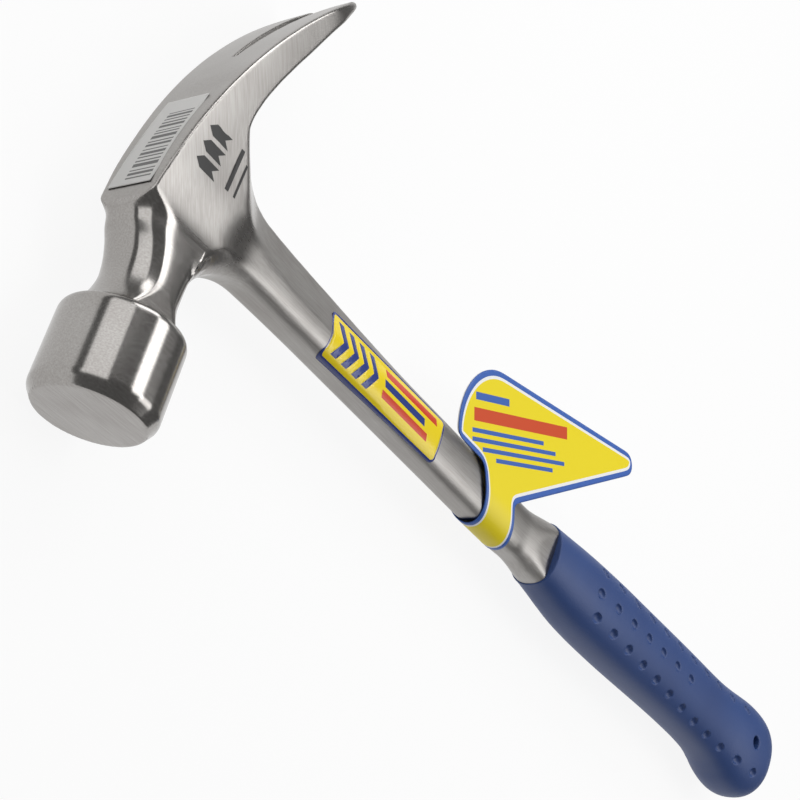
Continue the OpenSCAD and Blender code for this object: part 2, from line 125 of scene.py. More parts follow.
# %% Head field
STRAP_RADIUS = 184.0
STRAP_TILT = math.radians(8.9)
STRAP_HEIGHT = 13.2
CLAW_TIP = 86.0
NECK_END = 43.0
SLOT_START = 46.0
SLOT_ROUND = 0.7
STRAP_EDGE = 0.9
TIP_EDGE = 0.5
NECK_EDGE = 0.4
CHEEK_HALF = [(-40, 9.7), (-24, 9.7), (-14, 9.6), (-9.5, 9.6), (0, 10.6), (11, 11.2), (28, 12.6),
              (48, 14.1), (65, 14.9), (72, 15), (76.5, 14.4), (80, 13.65), (82.6, 12.6), (84.7, 11.1),
              (86, 9.2), (89, 5)]
HEAD_THICKNESS = [(-40, 24), (-12, 24), (-9.5, 24.3), (-5.2, 25.3), (0, 25.8), (7.7, 22.5), (15.5, 16.7),
                  (23.2, 12.3), (31, 10.6), (38.7, 9.8), (46.4, 9.2), (54.2, 8.5), (61, 7.5), (67, 6.35),
                  (72.2, 5.3), (76.5, 4.15), (80, 3.2), (82.6, 2.4), (84.7, 1.7), (86, 1.35)]
NECK_RADIUS = [(-44, 15.4), (-41, 14.2), (-38, 12.3), (-35, 11), (-31.5, 10.2), (-28, 10), (-22, 9.95),
               (-18, 10), (-14.5, 10.05), (-12, 10.45), (-9.8, 11), (-7, 14), (-4, 20), (2, 34)]
NECK_TALL = [(-30, 1), (-25, 1.06), (-21, 1.2), (-18, 1.36), (-14.5, 1.52), (-12, 1.84), (-9.5, 2.25)]
NECK_LOW = [(-30, 1), (-20, 1.02), (-15.2, 1.36), (-11.5, 1.54), (-8.3, 1.3), (-5, 1.1)]
NECK_POWER = [(-32, 2), (-22, 2.35), (-17, 2.5), (-12, 2.4)]
CHEEK_ROLL = (9.0, 0.45)  # the cheeks roll in under the strap: over how far, by how much
LOWER_EDGE = [(-12, 1), (-6, 4), (3, 4), (12, 1)]
CHEEK_LINE = [(-20, 18), (-14, 13), (-10, 9), (-6, 6.5), (0, 7), (3, 8.5), (10, 12), (18, 40)]
CHEEK_DROP = [(0, 0), (3, 0.1), (5, 0.35), (7, 0.75), (9, 1.25), (11, 1.78), (13.5, 2.35), (17, 2.95),
              (20, 3.3), (27, 3.65)]
SLOT_HALF = ((46.7, 87), (0.7, 4.75))


def strap(y):
    """How far up the strap lies over each y."""
    return STRAP_RADIUS * math.cos(STRAP_TILT) - STRAP_HEIGHT - np.sqrt(
        STRAP_RADIUS ** 2 - (y + STRAP_RADIUS * math.sin(STRAP_TILT)) ** 2)


def cheek_bend(x, y):
    """How far the cheeks have fallen away towards the shank."""
    return curve(x - curve(y, CHEEK_LINE), CHEEK_DROP)


def head(x, y, z):
    top = strap(y) - x
    wide, drop = CHEEK_ROLL
    roll = drop * np.clip(1 + top / wide, 0, 1) ** 2
    side = np.abs(z) - curve(y, CHEEK_HALF) + roll + cheek_bend(x, y)
    under = x - strap(y) - curve(y, HEAD_THICKNESS)
    stretch = np.where(x < 0, curve(y, NECK_TALL), curve(y, NECK_LOW))
    power = curve(y, NECK_POWER)
    neck = ((np.abs(x) / stretch) ** power + np.abs(z) ** power) ** (1 / power) - curve(y, NECK_RADIUS)
    bar = both(both(side, top, STRAP_EDGE), both(under, y - CLAW_TIP, TIP_EDGE), curve(y, LOWER_EDGE))
    return np.maximum(both(bar, neck, NECK_EDGE), -NECK_END - y)


def nail_slot(y, z):
    half = np.interp(y, *SLOT_HALF)
    return both(np.abs(z) - half, SLOT_START - y, SLOT_ROUND)


print("strap runs from x", round(float(strap(-10.0)), 1), "to", round(float(strap(CLAW_TIP)), 1), "mm")

# %% [markdown]
# ## Bell
# The striking end is turned on a lathe: a barrel with a bevelled face and a rounded shoulder. A spun
# profile would do, but the neck has to flow out of it, so it is one more field, joined with a small
# fillet.

# %% Bell field
BELL_LENGTH = 25.0
FACE_R = 14.0
FACE_BEVEL = 3.0
SHOULDER_R = 2.25
BEVEL_COSINE = 0.83
BEVEL_EDGE = 0.5
FACE_EDGE = 0.35


def bell(x, y, z):
    radius = np.hypot(x, z)
    barrel = radius - BELL_R
    bevel = (radius - FACE_R - (y + FACE_REACH) * (BELL_R - FACE_R) / FACE_BEVEL) * BEVEL_COSINE
    front = both(both(barrel, bevel, BEVEL_EDGE), -FACE_REACH - y, FACE_EDGE)
    return both(front, y + FACE_REACH - BELL_LENGTH, SHOULDER_R)


print("bell", 2 * BELL_R, "mm across, face", 2 * FACE_R, "mm")

# %% [markdown]
# ## Shank
# Seen from its end the shank is an oval with a narrow ground flat along its front edge. Under the head
# its back half is a flat bevel with a crisp crease, the ridge, near the middle, and the whole section
# swells into the cheeks. At the other end it flares to the grip. A superellipse covers all of these:
# its power goes from 1, a straight bevel, to 2 and over, an oval. Each section is cut off by a flat at
# the front and the back. These tables run along X.

# %% Shank field
SHANK_HALF = [(3, 13.6), (7, 13), (10, 12.4), (14, 11.3), (16, 10.7), (18, 10), (20, 9.35), (22.5, 8.7),
              (26, 8), (29, 7.6), (36, 7), (46, 6.55), (58, 6.4), (175, 6.4), (180, 6.6), (190, 8.05),
              (195, 9), (200, 9.25)]
RIDGE = [(3, -0.2), (14, -0.6), (25, -1), (60, -1.1), (90, -0.6), (128, -0.2), (175, -0.9), (195, 0)]
SHANK_DEPTH = [(0, 9.2), (175, 9.2), (181, 9.4), (190, 10.7), (195, 11.3), (200, 11.55)]
FRONT_FLAT = [(3, 3.4), (12, 3.6), (17, 3.4), (26, 2.7), (40, 2.05), (58, 1.75), (172, 1.6), (190, 0.6)]
BACK_FLAT = [(3, 9.8), (9, 9.3), (14, 7.7), (21, 6.1), (35, 4.5), (58, 3.2), (90, 2.3), (128, 1.7),
             (172, 1.6), (190, 0.6)]
FRONT_POWER = [(3, 1.55), (12, 1.6), (18, 1.9), (28, 2.3), (58, 2.8), (170, 2.9), (188, 2.2)]
BACK_POWER = [(3, 4), (10, 2.4), (16, 1.5), (23, 1.08), (62, 1.08), (85, 1.4), (128, 2.5), (170, 2.5),
              (188, 2.2)]
CROTCH = (6.6, 25.0)
HEEL = (2.1, 25.5)
SHANK_TOP = 2.0
INTO_GRIP = 3.0
UNDER_HEAD_FILLET = 3.0
LEAST_FILLET = 0.03
BELL_FILLET = 0.7
SLOT_EDGE = 0.35
FLAT_EDGE = 0.3
CHEEK_EDGE = 0.6


def edge_fillet(x, start, radius):
    """How far a fillet under the head stands out at x, and its slope."""
    reach = np.clip((start + radius - x) / radius, 0, 0.999)
    return radius * (1 - np.sqrt(1 - reach ** 2)), -reach / np.sqrt(1 - reach ** 2)


def shank_middle(x):
    """The middle line, which drifts from the claws' side to the face's side."""
    drift = 0.9 - 1.8 * fade(x, 58, 175)
    return drift * (1 - fade(x, 175, 195))


def shank(x, y, z):
    ridge = curve(x, RIDGE)
    across = y - ridge
    front = across < 0
    crotch, crotch_slope = edge_fillet(x, *CROTCH)
    heel, heel_slope = edge_fillet(x, *HEEL)
    shift = shank_middle(x) - ridge
    depth = curve(x, SHANK_DEPTH) + np.where(front, crotch - shift, heel + shift)
    slope = np.where(front, crotch_slope, heel_slope)
    half = curve(x, SHANK_HALF)
    flat = np.where(front, curve(x, FRONT_FLAT), curve(x, BACK_FLAT))
    power = np.where(front, curve(x, FRONT_POWER), curve(x, BACK_POWER))
    keep = np.maximum(1 - (flat / half) ** power, 1e-3) ** (1 / power)
    a = np.maximum(np.abs(across) / depth, 1e-4)
    b = np.maximum(np.abs(z) / half, 1e-4)
    s = ((a * keep) ** power + b ** power) ** (1 / power)
    steep = np.sqrt(((a * keep / s) ** (power - 1) * keep / depth) ** 2 * (1 + (a * slope) ** 2)
                    + ((b / s) ** (power - 1) / half) ** 2)
    oval = (s - 1) / np.maximum(steep, 1e-3)
    flats = (a - 1) * depth / np.sqrt(1 + slope ** 2)
    cheek = np.abs(z) - curve(y, CHEEK_HALF) + cheek_bend(x, y)
    ends = np.maximum(SHANK_TOP - x, x - GRIP_START - INTO_GRIP)
    return np.maximum(both(both(oval, flats, FLAT_EDGE), cheek, CHEEK_EDGE), ends)


def steel_field(p):
    x, y, z = p[:, 0], p[:, 1], p[:, 2]
    metal = joined(head(x, y, z), bell(x, y, z), BELL_FILLET)
    # the fillet is wide below the cheeks' faces and next to nothing on them, where head and shank agree
    inward = fade(curve(y, CHEEK_HALF) - cheek_bend(x, y) - np.abs(z), 0.4, 3.4)
    inward *= fade(y, -24, -18) * fade(y, 30, 22)
    metal = joined(metal, shank(x, y, z), LEAST_FILLET + UNDER_HEAD_FILLET * inward)
    return both(metal, -nail_slot(y, z), SLOT_EDGE)


print("steel at the shank's middle:", round(float(steel_field(np.array([[90.0, 0, 0]]))[0]), 2), "mm deep")

# %% [markdown]
# ## From field to mesh
# Remesh modifiers work on meshes, not on functions, so the field is sampled on a grid. Every grid cell
# that the surface crosses gets one vertex, and every grid edge that it crosses gets one quad round it.
# The vertices are then slid down the field's slope until they lie on the surface, and that slope is
# also the exact normal, so the shading is as smooth as the forging.

# %% Mesh a field
GRID = 0.6


def uphill(field, p, reach=0.02):
    steps = np.eye(3) * reach
    return np.stack([(field(p + s) - field(p - s)) / (2 * reach) for s in steps], axis=1)


def settle(field, p, step, rounds=5):
    for _ in range(rounds):
        g = uphill(field, p)
        move = field(p)[:, None] * g / np.maximum((g * g).sum(1), 0.05)[:, None]
        p = p - np.clip(move, -step / 2, step / 2)
    return p


def mesh_of_field(name, field, low, high, step):
    axes = [np.arange(a, b + step, step) for a, b in zip(low, high)]
    slab = np.stack(np.meshgrid([0.0], axes[1], axes[2], indexing="ij"), -1).reshape(-1, 3)
    solid = np.zeros([len(a) for a in axes], bool)
    for i, x in enumerate(axes[0]):
        slab[:, 0] = x
        solid[i] = (field(slab) < 0).reshape(solid.shape[1:])
    corners = sum(solid[i:len(axes[0]) - 1 + i, j:len(axes[1]) - 1 + j, k:len(axes[2]) - 1 + k].astype(int)
                  for i in (0, 1) for j in (0, 1) for k in (0, 1))
    crossed = (corners > 0) & (corners < 8)
    number = np.full(crossed.shape, -1)
    number[crossed] = np.arange(crossed.sum())
    points = settle(field, np.array(low, float) + (np.argwhere(crossed) + 0.5) * step, step)
    quads = []
    for a in range(3):
        turn = (a, (a + 1) % 3, (a + 2) % 3)
        s, n = solid.transpose(turn), number.transpose(turn)
        i, j, k = np.nonzero(s[:-1, 1:-1, 1:-1] != s[1:, 1:-1, 1:-1])
        ring = np.stack([n[i, j, k], n[i, j + 1, k], n[i, j + 1, k + 1], n[i, j, k + 1]], axis=1)
        outward = s[i, j + 1, k + 1]
        quads.append(np.where(outward[:, None], ring, ring[:, ::-1]))
    slopes = uphill(field, points)
    slopes /= np.linalg.norm(slopes, axis=1)[:, None]
    return mesh_object(name, points, np.concatenate(quads), slopes), points, slopes


def mesh_object(name, points, faces, normals=None):
    mesh = bpy.data.meshes.new(name)
    mesh.from_pydata(to_scene(points).tolist(), [], [list(map(int, f)) for f in faces])
    mesh.shade_smooth()
    if normals is not None:
        mesh.normals_split_custom_set_from_vertices(normals.tolist())
    piece = bpy.data.objects.new(name, mesh)
    bpy.context.scene.collection.objects.link(piece)
    return piece


steel, steel_points, steel_normals = mesh_of_field(
    "forging", steel_field, (-17, -66, -17), (199, 88, 17), GRID)
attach(steel, "hammer")
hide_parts("forged_body")
print("forging:", len(steel.data.polygons), "faces")

# %% [markdown]
# ## Grip
# The grip is vinyl moulded round the tang. It is an oval tube that swells to the butt, with rows of
# small dimples for hold and a hang hole near the end. Dimples cut with booleans leave sharp rims; in a
# field a small ellipsoid is taken away with a rounded edge, as a mould would leave it.

# %% Grip field
GRIP_WIDE = [(0, 11.6), (8, 12.2), (18, 13.25), (28, 14.05), (40, 14.6), (53, 14.9), (69, 15), (126, 15.05),
             (142, 15.4), (152, 16.2), (160, 17.4), (168, 18.75), (175, 19.3), (181, 19.2), (186, 18.4),
             (190, 17), (193, 15), (195.3, 12.6), (196.6, 9.8), (197, 7.5)]
GRIP_THICK = [(0, 9.3), (8, 9.7), (18, 10.4), (28, 11.1), (40, 11.5), (53, 11.7), (69, 11.8), (126, 11.85),
              (142, 12.1), (152, 12.7), (160, 13.6), (168, 14.4), (175, 14.7), (181, 14.6), (186, 13.9),
              (190, 12.7), (193, 11.1), (195.3, 9.2), (196.6, 7), (197, 5.2)]
GRIP_MIDDLE = [(0, 0), (18, -0.35), (28, -0.53), (40, -0.47), (53, -0.23), (69, 0.1), (89, 0.7),
               (108, 1.23), (126, 1.47), (142, 1.47), (152, 1.35), (160, 1), (168, 0.5), (175, 0.05),
               (181, -0.35), (188, -0.75), (197, -0.85)]
GRIP_POWER = 2.3
GRIP_EDGE = 0.3
BUTT_EDGE = 1.0
BUTT_SLANT = 0.205
BUTT_PIVOT = 7.4
BUTT_TURN = [(138, 0), (158, 0.3), (177, 0.9), (197, 1)]
HANG_HOLE = (363.0, 0.0)
HANG_HOLE_R = 2.6


def grip_body(p):
    t = p[:, 0] - GRIP_START
    t = t - BUTT_SLANT * curve(t, BUTT_TURN) * (p[:, 1] - BUTT_PIVOT)
    wide, thick = curve(t, GRIP_WIDE), curve(t, GRIP_THICK)
    a = np.maximum(np.abs(p[:, 1] - curve(t, GRIP_MIDDLE)) / wide, 1e-4)
    b = np.maximum(np.abs(p[:, 2]) / thick, 1e-4)
    s = (a ** GRIP_POWER + b ** GRIP_POWER) ** (1 / GRIP_POWER)
    steep = np.hypot((a / s) ** (GRIP_POWER - 1) / wide, (b / s) ** (GRIP_POWER - 1) / thick)
    return both(both((s - 1) / steep, -t, GRIP_EDGE), t - (BUTT - GRIP_START), BUTT_EDGE)


def on_top(field, x, y, top=20.0):
    """Height of a field's upper face over each (x, y)."""
    low, high = np.zeros(len(x)), np.full(len(x), top)
    for _ in range(26):
        mid = (low + high) / 2
        inside = field(np.stack([x, y, mid], axis=1)) < 0
        low, high = np.where(inside, mid, low), np.where(inside, high, mid)
    return low


print("grip", BUTT - GRIP_START, "mm long")

# %% [markdown]
# ## Dimples
# Three rows of dimples run down each side, about 13 mm from one to the next. The middle row is shorter
# and starts a little nearer the head. Each is an oval pit about 4 mm across and 1.3 mm deep, pressed
# square to the surface, so its three axes come from the grip's own slope.

# %% Dimpled grip
DIMPLE_PITCH = 12.8
ROWS = [(226.7, 12, -8.8, -11.0), (224.1, 7, -1.0, 0.5), (227.0, 11, 8.3, 10.6)]
DIMPLE = (2.3, 1.75, 1.35)
DIMPLE_REACH = 3.2
DIMPLE_RIM = 0.2
HOLE_RIM = 0.6
pits = []
for start, count, y_first, y_last in ROWS:
    for i in range(count):
        pits.append((start + DIMPLE_PITCH * i, y_first + (y_last - y_first) * i / (count - 1)))
pits = np.array(pits)
pit_points = np.column_stack([pits, on_top(grip_body, pits[:, 0], pits[:, 1])])
pit_normals = uphill(grip_body, pit_points)
pit_normals /= np.linalg.norm(pit_normals, axis=1)[:, None]


def grip_field(p):
    vinyl = grip_body(p)
    mirrored = np.column_stack([p[:, 0], p[:, 1], np.abs(p[:, 2])])
    for point, normal in zip(pit_points, pit_normals):
        near = np.abs(p[:, 0] - point[0]) < DIMPLE_REACH
        if not near.any():
            continue
        d = mirrored[near] - point
        ways = np.column_stack([d[:, 0], d @ np.cross(normal, [1.0, 0, 0]), d @ normal])
        pit = np.linalg.norm(ways / DIMPLE, axis=1)
        vinyl[near] = both(vinyl[near], (1 - pit) * DIMPLE[2], DIMPLE_RIM)
    hole = HANG_HOLE_R - np.hypot(p[:, 0] - HANG_HOLE[0], p[:, 1] - HANG_HOLE[1])
    return both(vinyl, hole, HOLE_RIM)


grip, _, _ = mesh_of_field("grip_moulding", grip_field, (194, -20, -16), (393, 20, 16), GRID)
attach(grip, "hammer")
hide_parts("grip")
print("grip:", len(pits) * 2, "dimples,", len(grip.data.polygons), "faces")

# %% [markdown]
# ## Colours and a node helper
# Colours are written as the sRGB hex that a picker shows, and shaders want linear light, so one
# function converts. One more adds a node, fills its settings and inputs and makes its links.

# %% Shader helpers
def linear(code):
    parts = [int(code[i:i + 2], 16) / 255 for i in (1, 3, 5)]
    return tuple(c / 12.92 if c <= 0.04045 else ((c + 0.055) / 1.055) ** 2.4 for c in parts) + (1.0,)


def add(tree, kind, inputs=None, **settings):
    node = tree.nodes.new(kind)
    for key, value in settings.items():
        setattr(node, key, value)
    for key, value in (inputs or {}).items():
        if isinstance(value, bpy.types.NodeSocket):
            tree.links.new(value, node.inputs[key])
        else:
            node.inputs[key].default_value = value
    return node


def new_material(name):
    material = bpy.data.materials.new(name)
    material.use_nodes = True
    tree = material.node_tree
    return material, tree, tree.nodes["Principled BSDF"]


PER_METRE = 1 / MM
print("mid grey #808080 is", round(linear("#808080")[0], 3), "linear")

# %% [markdown]
# ## Which way the grinder went
# The shank was ground along its length, bell and neck were turned, so their scratches run round them,
# and the cheeks were belted on a slant. Scratches smear a reflection across themselves, which is why the
# shank is evenly bright while the bell has hard stripes. A shader can smear along one direction per
# point, so every point of the mesh is given the direction across its scratches. On the strap and the
# claws' edges that is Z, on the bell's face too.

# %% Direction across the scratches
BELT_SLANT = math.radians(58)
POLISHED, SHANK_DULLER, CHEEK_DULLER, EDGE_DULLER = 0.17, 0.16, 0.24, 0.1
x, y, _ = steel_points.T
upright = np.abs(steel_normals[:, 2])
on_edge = fade(upright, 0.8, 0.5)[:, None]
on_bell = fade(y, -12, -16)[:, None]
on_shank = fade(x, 14, 26)[:, None]
on_cheek = fade(upright, 0.95, 0.99) * fade(x, 20, 15) * fade(y, -14, -10)
belted = np.array([-math.sin(BELT_SLANT), math.cos(BELT_SLANT), 0])
on_head = (1 - on_edge) * belted + on_edge * [0, 0, 1]
across_grain = on_bell * [0, 1, 0] + (1 - on_bell) * on_head
across_grain = (1 - on_shank) * across_grain + on_shank * np.cross(steel_normals, [1.0, 0, 0])
across_grain[steel_normals[:, 1] < -0.9] += [0, 0, 1.0]
across_grain /= np.maximum(np.linalg.norm(across_grain, axis=1), 1e-3)[:, None]
edge_only = (on_edge * (1 - on_bell) * (1 - on_shank))[:, 0]
dullness = POLISHED + SHANK_DULLER * on_shank[:, 0] + CHEEK_DULLER * on_cheek + EDGE_DULLER * edge_only
for name, kind, key, values in [("across_grain", "FLOAT_VECTOR", "vector", across_grain.ravel()),
                                ("belt_ground", "FLOAT", "value", on_cheek),
                                ("dullness", "FLOAT", "value", dullness)]:
    steel.data.attributes.new(name, kind, "POINT").data.foreach_set(key, values)
print("belt-ground share of the forging's points:", round(float(on_cheek.mean()), 2))

# %% [markdown]
# ## Steel, ground and polished
# Forged carbon steel, ground on belts and then satin polished: a metal, so all of its colour is in the
# reflection, and a grey one. Fine scratches break up the tone. Belt scratches are about 0.05 mm wide;
# they are drawn at 0.4 mm, because finer ones would not show.

# %% Steel material
SCRATCH = 0.4
SCRATCH_LENGTH = 9.0
CLOUD = 14.0
polish, tree, shader = new_material("steel_forged_belt_ground")
place = add(tree, "ShaderNodeTexCoord").outputs["Object"]
fine = (PER_METRE / SCRATCH_LENGTH, PER_METRE / SCRATCH, PER_METRE / SCRATCH)
marks = []
for slant in (0, BELT_SLANT):
    lay = add(tree, "ShaderNodeMapping", {"Vector": place, "Rotation": (0, 0, slant)})
    lay = add(tree, "ShaderNodeVectorMath", {0: lay.outputs[0], 1: fine}, operation="MULTIPLY")
    mark = add(tree, "ShaderNodeTexNoise", {"Vector": lay.outputs[0], "Scale": 1.0, "Detail": 3.0})
    marks.append(mark.outputs[0])
belt = add(tree, "ShaderNodeAttribute", attribute_name="belt_ground").outputs["Fac"]
scratch = add(tree, "ShaderNodeMix", {"Factor": belt, "A": marks[0], "B": marks[1]}).outputs[0]
cloud = add(tree, "ShaderNodeTexNoise", {"Vector": place, "Scale": PER_METRE / CLOUD, "Detail": 2.0})
shade = add(tree, "ShaderNodeMix", {"Factor": 0.35, "A": scratch, "B": cloud.outputs[0]}).outputs[0]
tone = add(tree, "ShaderNodeValToRGB", {"Fac": shade})
for stop, place_on_ramp, code in zip(tone.color_ramp.elements, (0.3, 0.7), ("#938f8c", "#aba9a6")):
    stop.position, stop.color = place_on_ramp, linear(code)
tree.links.new(tone.outputs[0], shader.inputs["Base Color"])
dull = add(tree, "ShaderNodeAttribute", attribute_name="dullness").outputs["Fac"]
dull = add(tree, "ShaderNodeMath", {0: scratch, 1: 0.06, 2: dull}, operation="MULTIPLY_ADD")
tree.links.new(dull.outputs[0], shader.inputs["Roughness"])
depth = add(tree, "ShaderNodeMapRange", {"Value": belt, "To Min": 0.05, "To Max": 0.3}).outputs[0]
bump = add(tree, "ShaderNodeBump", {"Height": scratch, "Strength": depth, "Distance": 0.06 * MM})
tree.links.new(bump.outputs[0], shader.inputs["Normal"])
grain = add(tree, "ShaderNodeAttribute", attribute_name="across_grain").outputs["Vector"]
tree.links.new(grain, shader.inputs["Tangent"])
shader.inputs["Anisotropic"].default_value = 0.8
shader.inputs["Metallic"].default_value = 1.0
steel.data.materials.append(polish)
print("steel on", steel.name)

# %% [markdown]
# ## Vinyl
# The grip is soft PVC, coloured in the mass and moulded in a finely blasted tool. It has no metal in it,
# so the colour comes from below the surface and the highlight is broad and pale. The tool's blasting is
# a grain of about 0.3 mm, drawn at 0.6 mm so that it shows.

# %% Vinyl material
GRAIN = 0.6
PATCH = 25.0
vinyl, tree, shader = new_material("vinyl_moulded_blue")
place = add(tree, "ShaderNodeTexCoord").outputs["Object"]
grain = add(tree, "ShaderNodeTexNoise", {"Vector": place, "Scale": PER_METRE / GRAIN, "Detail": 2.0})
patch = add(tree, "ShaderNodeTexNoise", {"Vector": place, "Scale": PER_METRE / PATCH, "Detail": 2.0})
ramp = add(tree, "ShaderNodeValToRGB", {"Fac": patch.outputs[0]})
ramp.color_ramp.elements[0].color = linear("#233d73")
ramp.color_ramp.elements[1].color = linear("#2b4983")
tree.links.new(ramp.outputs[0], shader.inputs["Base Color"])
bump = add(tree, "ShaderNodeBump", {"Height": grain.outputs[0], "Strength": 0.5, "Distance": 0.1 * MM})
tree.links.new(bump.outputs[0], shader.inputs["Normal"])
shader.inputs["Roughness"].default_value = 0.5
shader.inputs["IOR"].default_value = 1.53
grip.data.materials.append(vinyl)
print("vinyl on", grip.name)

# %% [markdown]
# ## Printed sheets
# A label is film with ink on it. The ink could be a painted texture, but then its edges would be only
# as sharp as the picture. Here the print is cut into the sheet's own mesh: all outlines are laid flat,
# triangulated together with a fine grid, and each triangle takes the colour of the last outline that
# covers it. The flat sheet is then bent onto the surface that carries it.

# %% Printed sheet
SHEET = 0.15
SHEET_LIFT = 0.2


def printed_sheet(name, prints, bend, spacing, thickness):
    points, outlines = [], []
    for outline, _ in prints:
        outlines.append(list(range(len(points), len(points) + len(outline))))
        points.extend(Vector((float(p[0]), float(p[1]))) for p in outline)
    corner = np.array(prints[0][0], float)
    grid = [np.arange(a + spacing / 2, b, spacing) for a, b in zip(corner.min(0), corner.max(0))]
    points.extend(Vector((a, b)) for a in grid[0] for b in grid[1])
    flat, _, faces, _, _, covers = delaunay_2d_cdt(points, [], outlines, 1, 1e-4, True)
    kept = [(f, max(c)) for f, c in zip(faces, covers) if 0 in c]
    sheet = mesh_object(name, bend(np.array([list(p) for p in flat])), [f for f, _ in kept])
    inks = list(dict.fromkeys(ink for _, ink in prints))
    for ink in inks:
        sheet.data.materials.append(ink)
    sheet.data.polygons.foreach_set("material_index", [inks.index(prints[c][1]) for _, c in kept])
    if thickness:
        skin = sheet.modifiers.new("thickness", "SOLIDIFY")
        skin.thickness, skin.offset = thickness * MM, -1
    return sheet


def rounded(x0, y0, x1, y1, r, steps=6):
    corners = [(x1 - r, y1 - r, 0), (x0 + r, y1 - r, 90), (x0 + r, y0 + r, 180), (x1 - r, y0 + r, 270)]
    turns = [(cx, cy, math.radians(a + 90 * i / steps)) for cx, cy, a in corners for i in range(steps + 1)]
    return [(cx + r * math.cos(t), cy + r * math.sin(t)) for cx, cy, t in turns]


def slanted(x0, y0, x1, y1, lean):
    return [(x0, y0), (x1, y0), (x1 + lean, y1), (x0 + lean, y1)]


def lifted(field, lift):
    """Bends flat (x, y) points onto the upper face of a field."""
    def bend(flat):
        p = np.column_stack([flat, on_top(field, flat[:, 0], flat[:, 1])])
        g = uphill(field, p)
        return p + lift * g / np.linalg.norm(g, axis=1)[:, None]
    return bend


print("sheet tools ready")

# %% [markdown]
# ## Inks
# Offset inks under a clear film: even colour, a hard gloss from the film and no grain of their own. The
# film's slight waviness, a few millimetres long, keeps its reflections from being dead straight. The
# card of the tag is coated board, which is duller, the paper of the top label is duller again, and the
# cheek is marked in black enamel.

# %% Ink materials
FILM_WAVE = 5.0


def printed_ink(name, code, rough):
    material, tree, shader = new_material(name)
    place = add(tree, "ShaderNodeTexCoord").outputs["Object"]
    wave = add(tree, "ShaderNodeTexNoise", {"Vector": place, "Scale": PER_METRE / FILM_WAVE, "Detail": 1.0})
    bump = add(tree, "ShaderNodeBump", {"Height": wave.outputs[0], "Strength": 0.3, "Distance": 0.05 * MM})
    tree.links.new(bump.outputs[0], shader.inputs["Normal"])
    shader.inputs["Base Color"].default_value = linear(code)
    shader.inputs["Roughness"].default_value = rough
    shader.inputs["IOR"].default_value = 1.5
    return material


film_yellow = printed_ink("film_printed_yellow", "#efd51c", 0.25)
film_blue = printed_ink("film_printed_blue", "#2b3d84", 0.25)
film_red = printed_ink("film_printed_red", "#cf4326", 0.25)
card_yellow = printed_ink("card_coated_yellow", "#f0db12", 0.42)
card_blue = printed_ink("card_coated_blue", "#3a63b4", 0.42)
card_white = printed_ink("card_coated_white", "#f1f1f0", 0.42)
card_red = printed_ink("card_coated_red", "#cf4a1e", 0.42)
paper_grey = printed_ink("paper_label_grey", "#d2d1cf", 0.6)
paper_black = printed_ink("paper_printed_black", "#6e6d6c", 0.6)
enamel_black = printed_ink("enamel_printed_black", "#1d1c1c", 0.45)
print("inks mixed")

# %% [markdown]
# ## Shank label
# The label on the shank is a yellow film with a blue edge. Its print is a plain one of bars and
# chevrons. It follows the shank's curve from near the front flat to past the middle.

# %% Shank label
LABEL = (61.0, -8.2, 121.0, 6.3)


def chevron(x, y0, y1, wide, point):
    mid = (y0 + y1) / 2
    return [(x, y0), (x + wide, y0), (x + wide + point, mid), (x + wide, y1), (x, y1), (x + point, mid)]


x0, y0, x1, y1 = LABEL
prints = [(rounded(x0, y0, x1, y1, 1.4), film_blue),
          (rounded(x0 + 0.7, y0 + 0.7, x1 - 0.7, y1 - 0.7, 1.0), film_yellow)]
for i in range(4):
    prints.append((chevron(64 + 5.2 * i, -6.2, 4.4, 2.6, 3.0), film_blue))
for i, (wide, ink) in enumerate([(30, film_red), (24, film_blue), (27, film_red)]):
    prints.append((slanted(89, 2.0 - 3.4 * i, 89 + wide - 2, 4.2 - 3.4 * i, -0.8), ink))
label = printed_sheet("shank_label_film", prints, lifted(steel_field, SHEET_LIFT), 0.8, SHEET)
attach(label, "hammer")
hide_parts("shank_label")
print("shank label:", len(label.data.polygons), "faces")

# %% [markdown]
# ## Top label
# A paper strip with a row of plain bars lies on the strap. The strap faces up the handle, so this sheet
# is drawn in Y and Z and set on the strap's arc.

# %% Top label
TOP_LABEL = (-8.6, -7.3, 24.4, 6.9)
BARS = (-2.5, 6.0)
BAR_WIDTHS = [0.5, 0.9, 0.4, 1.2, 0.5, 0.5, 1.0, 0.4, 0.9, 0.5, 1.2, 0.5, 0.4, 1.0, 0.6, 0.5, 0.9, 0.4]
BAR_GAPS = [0.7, 0.6, 1.0, 0.6, 0.9, 0.6, 0.7, 1.0, 0.6, 0.9, 0.7, 0.6, 1.0, 0.6, 0.8, 0.7, 0.6, 0.6]


def on_strap(flat):
    return np.column_stack([strap(flat[:, 0]) - SHEET_LIFT, flat[:, 0], flat[:, 1]])


x0, y0, x1, y1 = TOP_LABEL
prints = [(rounded(x0, y0, x1, y1, 0.3), paper_grey)]
bar_at = x0 + 2.0
for wide, gap in zip(BAR_WIDTHS, BAR_GAPS):
    prints.append((slanted(bar_at, BARS[0], bar_at + wide, BARS[1], 0), paper_black))
    bar_at += wide + gap
top_label = printed_sheet("top_label_paper", prints, on_strap, 1.0, SHEET)
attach(top_label, "hammer")
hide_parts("top_label")
print("top label:", len(prints) - 1, "bars, last at", round(bar_at, 1), "mm")

# %% [markdown]
# ## Cheek mark
# Black enamel is printed straight onto the cheek. It is too thin to have an edge, so it is a single
# sheet just clear of the steel: three chevrons and two lines under them.

